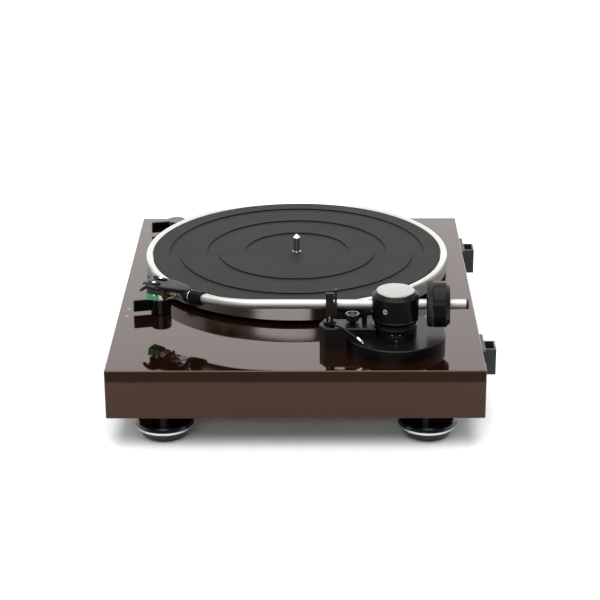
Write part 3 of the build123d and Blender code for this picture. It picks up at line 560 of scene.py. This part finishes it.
def headshell():
    """The leaf-shaped headshell: plate, hub, slots with near-black pads and screw heads, finger lift and
    horns; the pads' black is partly painted shade of the deep slots.

    A station holds its place along the head, half width, top, underside and squareness."""
    plate_stations = [
        (-11.6, 3.4, 7.3, 5.4, 4.0),
        (-13.0, 4.6, 7.7, 5.2, 5.0),
        (-18.0, 6.6, 8.3, 5.4, 6.0),
        (-25.0, 8.8, 8.9, 5.6, 6.0),
        (-32.0, 10.4, 9.3, 5.8, 6.0),
        (-38.0, 11.3, 9.6, 6.0, 6.0),
        (-45.0, 11.7, 9.9, 6.1, 6.0),
        (-51.0, 11.2, 10.1, 6.3, 6.0),
        (-55.0, 9.8, 10.1, 6.6, 5.0),
        (-57.6, 7.2, 10.0, 7.0, 4.0),
        (-58.8, 3.8, 9.6, 7.6, 3.0),
    ]
    hub_stations = [
        (-10.4, 6.3, 6.3, -6.2, 2.0),
        (-11.2, 6.8, 6.8, -6.6, 2.0),
        (-14.6, 6.8, 6.9, -5.9, 2.2),
        (-16.4, 6.6, 6.9, -3.2, 2.4),
        (-18.0, 6.2, 6.9, -0.2, 2.6),
        (-20.6, 5.8, 7.0, 3.1, 3.0),
        (-26.0, 6.4, 7.4, 4.9, 3.4),
    ]
    plate, hub = (
        loft(
            rounded_ring(
                Vector((0, y, (top + low) / 2)), X_AXIS, Z_AXIS, half_width, (top - low) / 2, power, 48
            )
            for y, half_width, top, low, power in stations
        )
        for stations in (plate_stations, hub_stations)
    )
    shell = piece_from(plate, "headshell_shell", HEAD, headshell_satin, "tonearm")
    piece_from(hub, "headshell_hub", HEAD, arm_black, "tonearm")
    for side in (-1, 1):
        spot = shifted(HEAD, side * SLOT_SIDE, -SLOT_FORWARD, 0)
        for half_width, low in ((SLOT_HALF_WIDTH, 8.0), (1.4, 4.0)):
            cut(shell, plan_profile(slot_outline(half_width), low, 12.0), spot)
    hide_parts("headshell")
    across, along = 2.5 / SLOT_HALF_WIDTH, 6.9 / (SLOT_HALF_WIDTH + SLOT_HALF_RUN)
    pad_outline = [(x * across, y * along) for x, y in slot_outline(SLOT_HALF_WIDTH)]
    head = [(0, 10.2), (1.8, 10.2), (1.9, 10.5), (1.9, 11.1), (1.6, 11.4)]
    head += [(0.9, 11.4), (0.8, 10.8), (0, 10.8)]
    for name, side in (("left", -1), ("right", 1)):
        spot = shifted(HEAD, side * SLOT_SIDE, -SLOT_FORWARD, 0)
        # The pads are black washers, and their near-lightless black is also painted shade standing for the
        # deep slot recesses.
        pad = plan_profile(pad_outline, 9.2, 10.6)
        piece_from(pad, f"slot_shade_pad_{name}", spot, pad_and_slot_shade_black, "tonearm", 0.3)
        piece_from(revolve(head, 48), f"screw_head_{name}", spot, screw_silver, "tonearm")
    lift_route = [
        (9.8, -38.6, 6.2, 1.2, 1.3),
        (11.4, -41.6, 6.7, 1.5, 1.4),
        (12.6, -44.8, 7.8, 1.7, 1.6),
        (13.4, -48.4, 8.5, 1.8, 1.6),
        (13.9, -51.4, 8.1, 1.8, 1.7),
        (14.2, -54.4, 6.4, 1.8, 1.6),
        (14.3, -56.6, 4.7, 1.7, 1.5),
        (14.3, -58.0, 3.7, 1.3, 1.1),
    ]
    piece_from(strip(lift_route), "finger_lift", HEAD, cartridge_black, "tonearm")
    for name, side in (("left", -1), ("right", 1)):
        horn = [
            (side * 9.0, -50.6, 9.3, 1.6, 0.9),
            (side * 9.1, -53.4, 9.9, 1.6, 1.0),
            (side * 9.2, -55.4, 10.3, 1.4, 1.1),
            (side * 9.2, -56.8, 9.7, 1.2, 1.0),
            (side * 9.1, -57.6, 8.2, 0.9, 0.7),
        ]
        piece_from(strip(horn), f"horn_{name}", HEAD, cartridge_black, "tonearm")


def cartridge():
    """Cartridge body and flange, the green stylus guard, its cream insert, the cantilever and the tip."""
    body_outline = [
        (-35.2, 5.6),
        (-53.4, 5.6),
        (-55.0, 3.6),
        (-55.0, -0.2),
        (-54.0, -1.2),
        (-39.0, -1.2),
        (-37.4, -5.6),
        (-35.2, -5.6),
    ]
    body = side_profile(body_outline, 8.1)
    body = piece_from(body, "cartridge_body", HEAD, cartridge_black, "tonearm", 0.5)
    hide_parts("cartridge")
    wing = side_profile([(-35.6, 3.4), (-51.0, 3.4), (-51.0, 5.9), (-35.6, 5.9)], 8.5)
    piece_from(wing, "cartridge_flange", HEAD, cartridge_black, "tonearm", 0.5)
    guard_outline = [
        (-58.6, -0.5),
        (-55.4, -1.0),
        (-55.2, -1.5),
        (-45.4, -1.5),
        (-44.4, -6.8),
        (-46.0, -8.4),
        (-53.2, -8.8),
        (-57.0, -9.3),
        (-58.1, -6.0),
    ]
    guard = side_profile(guard_outline, 5.2)
    guard = piece_from(guard, "stylus_guard", HEAD, stylus_green, "tonearm", 0.5)
    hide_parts("stylus_holder")
    insert_outline = [(-45.2, -1.6), (-39.4, -1.6), (-37.6, -6.9), (-44.2, -6.9)]
    piece_from(
        side_profile(insert_outline, 4.6), "stylus_insert", HEAD, stylus_cream, "tonearm", 0.4
    )
    cantilever = [(0, -50.0, -8.0), (0, -52.0, -8.6), (0, -54.0, -9.2), (0, 0.1 - STYLUS_FORWARD, -9.7)]
    wire("cantilever", cantilever, 0.3, HEAD, screw_silver, "tonearm")
    tip = revolve([(0, 0), (0.35, 1.0), (0.35, 1.4), (0, 1.6)], 16)
    spot = shifted(HEAD, 0, -STYLUS_FORWARD, -10.8)
    piece_from(tip, "stylus_tip", spot, screw_silver, "tonearm")


def leads():
    """Gold clips, coloured sleeves and four thin wires between the cartridge and the hub."""
    places = [(side * 2.5, height) for side in (-1, 1) for height in (0.6, -3.9)]
    pin = [(0, 0), (0.6, 0), (0.6, 2.6), (0.95, 2.8), (0.95, 4.6), (0.8, 4.8), (0.8, 5.6), (0.0, 5.7)]
    sleeve = [(0.5, 0), (1.1, 0.2), (1.1, 2.6), (0.7, 4.2), (0.5, 4.3)]
    for (x, z), colour in zip(places, lead_covers):
        cover = lead_covers[colour]
        spot = shifted(HEAD, x, -35.3, z, -90, "X")
        piece_from(revolve(pin, 20), f"cartridge_pin_{colour}", spot, gold, "tonearm")
        spot = shifted(HEAD, x, -29.7, z, -90, "X")
        piece_from(revolve(sleeve, 20), f"lead_sleeve_{colour}", spot, cover, "tonearm")
        route = [
            (x, -26.2, z),
            (x, -24.8, z),
            (x * 1.1, -23.0, z - 0.6),
            (x * 1.0, -21.0, z * 0.6 - 2.2),
            (x * 0.8, -19.2, z * 0.4 - 2.8),
            (x * 0.7, -16.4, z * 0.3 - 2.4),
        ]
        lead = wire(f"lead_{colour}", route, 0.36, HEAD, wire_black, "tonearm")
        if colour == "red":
            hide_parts("headshell_leads")


def collar_clip():
    """A bright silver wire arc in front of the ribbed collar, laid only over its near side: a painted
    highlight for the collar's C-shaped glint.
    """
    highlight_arc_radius, step = 6.7, 6.5
    points = []
    for index in range(25):
        angle = math.radians(-84 + step * index)
        points.append((highlight_arc_radius * math.cos(angle), -10.6, highlight_arc_radius * math.sin(angle)))
    # The silver arc is a painted highlight: it covers only the side of the collar where the glint shows.
    wire("collar_clip", points, 0.25, HEAD, screw_silver, "tonearm")


headshell()
cartridge()
leads()
collar_clip()


# ---- tonearm base, lift and bearing ----
def deck_centre(node):
    """The middle of a CAD node in the deck frame, in millimetres."""
    return (box_centre(node) - deck_origin) / MM


pivot_deck = (pivot - deck_origin) / MM
pivot_place = shifted(DECK, pivot_deck.x, pivot_deck.y, 0)
DRUM_LOW = 23.7
DRUM_RADIUS = 22.2
DISC_TOP = 53.2
COLLAR_TOP = 20.5
COLLAR_RADIUS = 20.5
BASE_TOP = 11.0
WEIGHT_RADIUS = 21.6


def bearing_trim():
    """Thin steel lines round the drum and the base's collar, painted highlights for the bright chamfer lines
    there, and the turned face of the drum's disc.
    """
    # The drum line is a painted highlight: a thin steel band for the bright line at the drum's lower chamfer.
    low = DRUM_LOW + 3.2
    inner, outer = DRUM_RADIUS - 0.3, DRUM_RADIUS + 0.08
    line = [(inner, low), (outer, low + 0.1), (outer, low + 0.45), (inner, low + 0.55)]
    piece_from(revolve(line, 128), "drum_highlight_line", pivot_place, steel_dark, "arm_drum")
    # The collar line is a painted highlight too, for the bright ring on the collar's top edge.
    inner, outer = COLLAR_RADIUS - 1.3, COLLAR_RADIUS + 0.1
    edge = [(inner, COLLAR_TOP - 0.2), (outer, COLLAR_TOP - 0.5), (outer, COLLAR_TOP - 0.1)]
    edge += [(outer - 0.3, COLLAR_TOP + 0.1), (inner, COLLAR_TOP + 0.1)]
    piece_from(revolve(edge, 128), "collar_highlight_line", pivot_place, steel_dark, "chassis")
    face = [(0, DISC_TOP - 0.1), (17.0, DISC_TOP - 0.1), (17.0, DISC_TOP + 0.1)]
    face += [(16.6, DISC_TOP + 0.18), (0, DISC_TOP + 0.18)]
    piece_from(revolve(face, 128), "cap_face", pivot_place, cap_silver, "arm_drum")


def clamp_plate():
    """The plate on the clamp boss with its two small screws."""
    outline = [(20.0, -6.4), (26.4, -6.4), (28.2, -4.4), (28.2, 4.4), (26.4, 6.4), (20.0, 6.4)]
    top = BASE_TOP + 5.0
    plate = plan_profile(outline, top - 0.3, top + 0.9)
    piece_from(plate, "clamp_plate", pivot_place, arm_black, "chassis", 0.35)
    head = [(0, 0), (1.1, 0), (1.2, 0.2), (1.2, 0.8), (1.0, 1.0), (0.6, 1.0), (0.6, 0.4), (0, 0.4)]
    for name, y in (("front", -3.6), ("back", 3.6)):
        spot = shifted(pivot_place, 24.4, y, top + 0.8)
        piece_from(revolve(head, 24), f"clamp_screw_{name}", spot, steel_dark, "chassis")


def anti_skate_parts():
    """The lobed anti-skating dial with its bright edge, centre cap and marks."""
    low, high = (Vector(corner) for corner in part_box("anti_skate_dial"))
    middle = deck_centre("anti_skate_dial")
    place = shifted(DECK, middle.x, middle.y, (low.z - deck_origin.z) / MM)
    height = (high.z - low.z) / MM
    body = [(0, 0), (6.0, 0), (6.2, 0.3), (6.2, 1.6), (7.15, 2.2), (7.15, height - 0.6), (6.6, height - 0.1)]
    body += [(4.6, height - 0.1), (4.4, height - 0.9), (0, height - 0.9)]
    lobes = 8
    dial = revolve(body, 192, lobes, 1.5)
    dial = piece_from(dial, "anti_skate_knob", place, case_plastic, "anti_skate_dial")
    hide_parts("anti_skate_dial")
    band = [(5.0, height - 0.4), (6.7, height - 0.4), (6.7, height + 0.02), (5.0, height + 0.02)]
    ring = revolve(band, 192, lobes, 1.3)
    piece_from(ring, "anti_skate_ring", place, steel_dark, "anti_skate_dial")
    cap = [(0, height - 1.0), (2.6, height - 1.0), (2.6, height - 0.3), (2.2, height), (0, height)]
    piece_from(revolve(cap, 48), "anti_skate_cap", place, arm_black, "anti_skate_dial")
    for step in range(5):
        spot = shifted(place, 0, 0, height + 0.03, 40 * step - 80)
        mark = plan_profile([(5.0, -0.18), (6.0, -0.18), (6.0, 0.18), (5.0, 0.18)], 0, 0.05)
        piece_from(mark, f"anti_skate_mark_{step}", spot, case_plastic, "anti_skate_dial")


def lever_tip():
    """The forked tip of the cueing lever, made silver as a painted highlight for the white edge glints on its
    black end.
    """
    low, high = (Vector(corner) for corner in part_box("cue_lever"))
    end = Vector((high.x - 1.0 * MM, high.y - 0.8 * MM, low.z + 1.0 * MM))
    start = end + Vector((-2.3, -5.4, 3.6)) * MM
    run = (end - start).normalized()
    turn = run.to_track_quat("Z", "Y").to_matrix().to_4x4()
    place = Matrix.Translation(start) @ turn @ Matrix.Scale(MM, 4)
    length = (end - start).length / MM
    sleeve = [(0, 0), (1.25, 0), (1.45, 0.4), (1.45, length - 0.6), (1.2, length - 0.2), (0, length - 0.2)]
    # The silver here is a painted highlight standing for the glints on the lever's black end.
    piece_from(revolve(sleeve, 32), "lever_highlight_sleeve", place, screw_silver, "cue_lever")
    for name, side in (("left", -1), ("right", 1)):
        prong = [(0, 0, length - 1.2), (side * 0.5, 0, length - 0.4), (side * 1.0, 0, length)]
        prong.append((side * 1.5, 0, length + 0.8))
        wire(f"lever_highlight_prong_{name}", prong, 0.4, place, screw_silver, "cue_lever")


bearing_trim()
clamp_plate()
anti_skate_parts()
lever_tip()


# ---- counterweight and its dial ----
def weight_parts():
    """The counterweight with its stepped back face and the ribbed, numbered force dial."""
    dial_length = 6.0
    weight_length = 21.8
    bore = 4.9
    gap = 0.1
    front = (box_centre("force_dial") - pivot).dot(back) / MM - (dial_length - 2 * gap) / 2
    start = front + dial_length
    end = front + weight_length
    edge = WEIGHT_RADIUS
    body = [(bore, start + gap), (edge - 0.4, start + gap), (edge, start + 0.5), (edge, end - 4.0)]
    body += [(edge - 3.8, end), (13.6, end), (13.2, end - 0.8), (8.4, end - 0.8), (8.0, end), (bore, end)]
    lie_back = ARM @ Matrix.Rotation(math.radians(-90), 4, "X")
    weight = revolve(body, 160)
    weight = piece_from(weight, "weight_body", lie_back, weight_black, "counterweight")
    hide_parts("counterweight")
    edge = WEIGHT_RADIUS - 0.3
    ring = [(bore, front), (edge - 3.0, front), (edge - 2.4, front + 0.4), (edge - 0.7, front + 0.9)]
    ring += [(edge, front + 1.6), (edge, start - 0.25), (edge - 0.2, start - gap), (bore, start - gap)]
    ribs = 80
    dial = revolve(ring, 6 * ribs, ribs, 0.55)
    dial = piece_from(dial, "dial_ring", lie_back, case_plastic, "force_dial")
    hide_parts("force_dial")
    marks = bmesh.new()
    mark_count, half, outer = 40, 0.16, 17.6
    for step in range(mark_count):
        long_mark = step % 10 == 0
        inner = 15.2 if long_mark else 16.4
        turn = Matrix.Rotation(2 * math.pi * step / mark_count, 4, "Z")
        corners_of_mark = [(inner, -half), (outer, -half), (outer, half), (inner, half)]
        low = [marks.verts.new(turn @ Vector((x, y, front - 0.05))) for x, y in corners_of_mark]
        high = [marks.verts.new(turn @ Vector((x, y, front + 0.1))) for x, y in corners_of_mark]
        marks.faces.new(low)
        marks.faces.new(high)
        for index in range(4):
            after = (index + 1) % 4
            marks.faces.new((low[index], low[after], high[after], high[index]))
    piece_from(marks, "dial_marks", lie_back, print_white, "force_dial")
    for step in range(4):
        face = lie_back @ Matrix.Rotation(math.radians(90 * step), 4, "Z")
        face = face @ Matrix.Translation((12.6, 0, front - 0.03))
        face = face @ Matrix.Rotation(math.pi, 4, "X") @ Matrix.Rotation(math.radians(-90), 4, "Z")
        lettering(f"dial_number_{step}", str(step), 4.0, face, print_white, "force_dial")


weight_parts()


# ---- printed marks on the deck and rings on the jacks ----
def deck_marks():
    """Speed figures and on-off marks in front of the knobs."""
    figures = [("33", 59.3, -166.2), ("45", 76.9, -166.5), ("0", -171.6, -167.3), ("I", -154.5, -166.6)]
    for text, x, y in figures:
        spot = shifted(DECK, x, y, 0.03)
        lettering(f"mark_{text}", text, 4.6, spot, print_silver, "chassis")


def jack_rings():
    """Red and white rings that tell the two channels apart."""
    ring = [(4.2, -3.8), (5.7, -3.8), (5.5, -2.9), (4.4, -2.7), (4.2, -2.9)]
    for name, colour in (("right", "red"), ("left", "white")):
        mount = next(item for item in frame["record"]["mounts"] if item["name"] == f"phono_jack_{name}")
        spot = Matrix.Translation(Vector(mount["pos_m"])) @ Matrix.Rotation(math.radians(-90), 4, "X")
        spot = spot @ Matrix.Scale(MM, 4)
        piece_from(revolve(ring, 48), f"jack_ring_{name}", spot, lead_covers[colour], "chassis")


deck_marks()
jack_rings()


# ---- floor, light and camera ----
def flat_sheet(name, low, high, height, paper):
    """A flat sheet between two (x, y) corners, in metres."""
    corners = [(low[0], low[1], height), (high[0], low[1], height), (high[0], high[1], height)]
    corners.append((low[0], high[1], height))
    mesh = bpy.data.meshes.new(name)
    mesh.from_pydata(corners, [], [(0, 1, 2, 3)])
    mesh.materials.append(paper)
    sheet = bpy.data.objects.new(name, mesh)
    bpy.context.collection.objects.link(sheet)
    return sheet


FLOOR_REACH = 15.0
floor_paper = finish("floor_paper", (0.70, 0.70, 0.70), 0.9, drift=0.01, patch=300.0, relief=0.0)
floor = flat_sheet("floor", (-FLOOR_REACH, -FLOOR_REACH), (FLOOR_REACH, FLOOR_REACH), 0, floor_paper)

# A grey card in front of the plinth that only mirror-like reflections see.
CARD_NEAR, CARD_FAR, CARD_SIDE = 0.355, 1.3, 1.5
card_grey = finish("card_grey", (0.22, 0.22, 0.22), 0.9, drift=0.02, patch=300.0, relief=0.0)
card = flat_sheet("dark_card", (CARD_NEAR, -CARD_SIDE), (CARD_FAR, CARD_SIDE), MM, card_grey)
card.visible_camera = False
card.visible_diffuse = False
card.visible_shadow = False


def area_light(name, place, aim, width, height, power):
    """A soft rectangular lamp that points at a place."""
    data = bpy.data.lights.new(name, "AREA")
    data.shape = "RECTANGLE"
    data.size = width
    data.size_y = height
    data.energy = power
    lamp = bpy.data.objects.new(name, data)
    lamp.location = place
    lamp.rotation_euler = (Vector(aim) - Vector(place)).to_track_quat("-Z", "Y").to_euler()
    bpy.context.collection.objects.link(lamp)


# Places and sizes are in metres, and the power is in watts.
area_light("front_softbox", (2.9, -0.45, 1.3), (0, 0, 0.05), width=2.3, height=0.8, power=25.0)
area_light("top_softbox", (0.6, 0.0, 2.2), (0.2, 0, 0), width=2.2, height=3.0, power=92.0)

scene = bpy.context.scene
scene.view_settings.view_transform = "Standard"
world = bpy.data.worlds.new("studio")
scene.world = world
world.use_nodes = True
studio = world.node_tree
direction = studio.nodes.new("ShaderNodeTexCoord").outputs["Generated"]
parts_of_direction = studio.nodes.new("ShaderNodeSeparateXYZ")
studio.links.new(direction, parts_of_direction.inputs["Vector"])
# The studio is dim on the camera's side and bright on the far side.
NEAR_LIGHT, FAR_LIGHT, FADE = 0.25, 1.9, 0.6
wall = studio.nodes.new("ShaderNodeMapRange")
wall.inputs["From Min"].default_value = FADE
wall.inputs["From Max"].default_value = -FADE
wall.inputs["To Min"].default_value = NEAR_LIGHT
wall.inputs["To Max"].default_value = FAR_LIGHT
studio.links.new(parts_of_direction.outputs["X"], wall.inputs["Value"])
studio.nodes["Background"].inputs["Color"].default_value = (1.0, 1.0, 1.0, 1.0)
studio.links.new(wall.outputs["Result"], studio.nodes["Background"].inputs["Strength"])

# The camera stands to the right of the plinth and looks down at it, along minus X.
CAMERA_PLACE = deck_origin + Vector((1.74522, 0.02112, 0.68798))
CAMERA_PITCH = math.radians(21.928)
CAMERA_YAW = math.radians(0.608)
CAMERA_ROLL = math.radians(-0.3365)
CAMERA_LENS = 110.61
CAMERA_SENSOR = 36.0
level = math.cos(CAMERA_PITCH)
ahead = -Vector((level * math.cos(CAMERA_YAW), level * math.sin(CAMERA_YAW), math.sin(CAMERA_PITCH)))
level_right = ahead.cross(Z_AXIS).normalized()
level_up = level_right.cross(ahead)
right = level_right * math.cos(CAMERA_ROLL) + level_up * math.sin(CAMERA_ROLL)
above = level_up * math.cos(CAMERA_ROLL) - level_right * math.sin(CAMERA_ROLL)
camera_data = bpy.data.cameras.new("camera")
camera_data.lens = CAMERA_LENS
camera_data.sensor_width = CAMERA_SENSOR
camera = bpy.data.objects.new("camera", camera_data)
camera.matrix_world = Matrix.Translation(CAMERA_PLACE) @ Matrix((right, above, -ahead)).transposed().to_4x4()
bpy.context.collection.objects.link(camera)
scene.camera = camera
